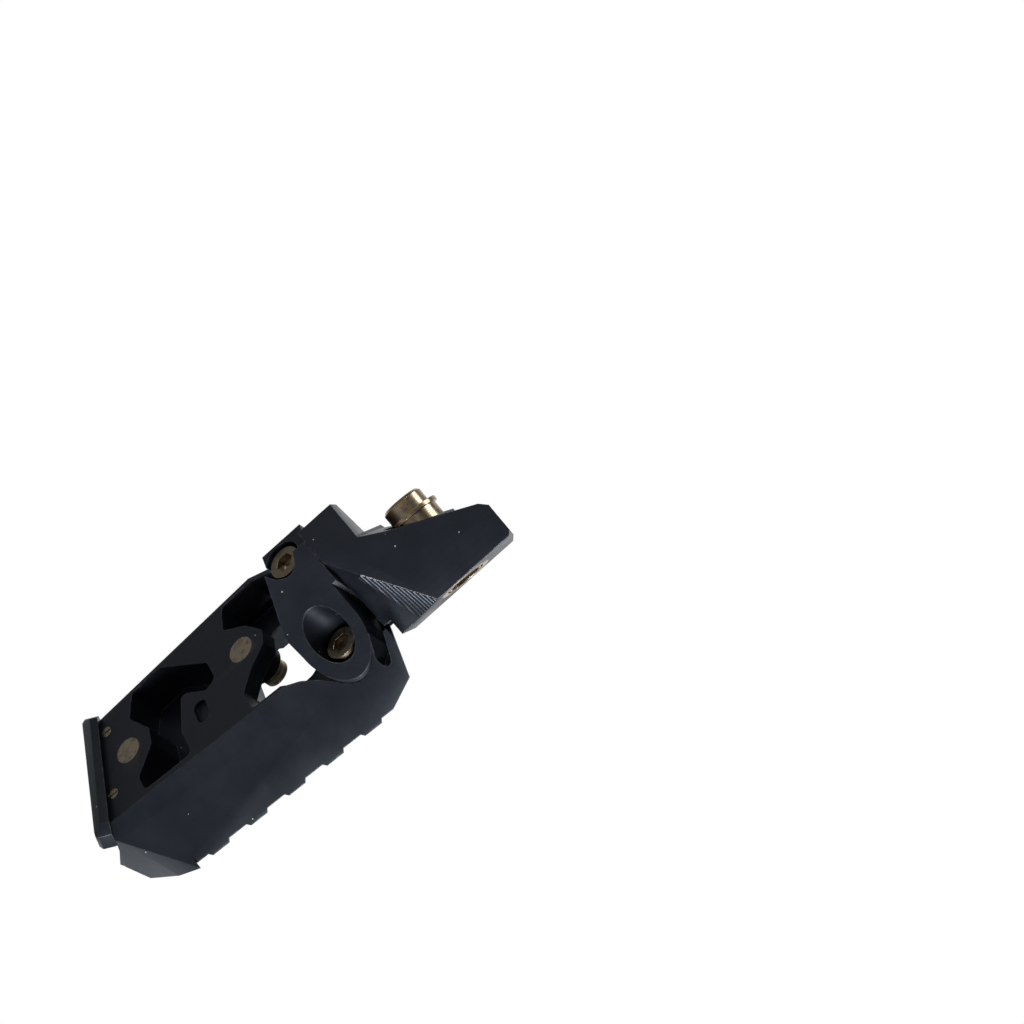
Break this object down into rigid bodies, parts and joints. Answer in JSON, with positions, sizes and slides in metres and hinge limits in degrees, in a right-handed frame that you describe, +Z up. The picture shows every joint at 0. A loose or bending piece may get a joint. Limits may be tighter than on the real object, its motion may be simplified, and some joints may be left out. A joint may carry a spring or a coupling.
{
  "type": "motorcycle foot peg",
  "caption": "Milled folding foot peg with a toothed tread, pocketed underside, clamp block and hinge lug with a pivot sleeve.",
  "frame": {"origin": "middle of the pivot pin's axis, inside the pivot sleeve", "axes": "+X outward along the peg, +Z up towards the tread, +Y away from the sloped flank; the pin lies at 45 degrees in the Y-Z plane"},
  "size_m": [0.1568, 0.0659, 0.0409],
  "materials": {
    "black_anodised": "fine milled, black anodised",
    "stainless_steel": "turned, plain",
    "spacer_nylon": "turned"
  },
  "bodies": {
    "sleeve": {"pivot_sleeve": "stainless_steel"},
    "peg": {"peg_body": "black_anodised", "end_plate": "black_anodised", "plate_screw_front": "stainless_steel", "plate_screw_rear": "stainless_steel", "body_stud_inner": "stainless_steel", "stud_nut_inner": "stainless_steel", "body_stud_outer": "stainless_steel", "stud_nut_outer": "stainless_steel", "joint_block": "black_anodised", "joint_bolt_front": "stainless_steel", "joint_washer_front": "stainless_steel", "joint_dowel_inner": "stainless_steel", "joint_bolt_rear": "stainless_steel", "joint_washer_rear": "stainless_steel", "joint_dowel_outer": "stainless_steel", "hinge_lug": "black_anodised", "bush_near": "stainless_steel", "bush_far": "stainless_steel", "bush_spacer": "spacer_nylon"}
  },
  "joints": [
    {"name": "fold", "type": "hinge", "parent": "sleeve", "child": "peg", "pos_m": [0, 0, 0], "axis": [0, -0.7071, 0.7071], "range_deg": [0, 60]}
  ]
}
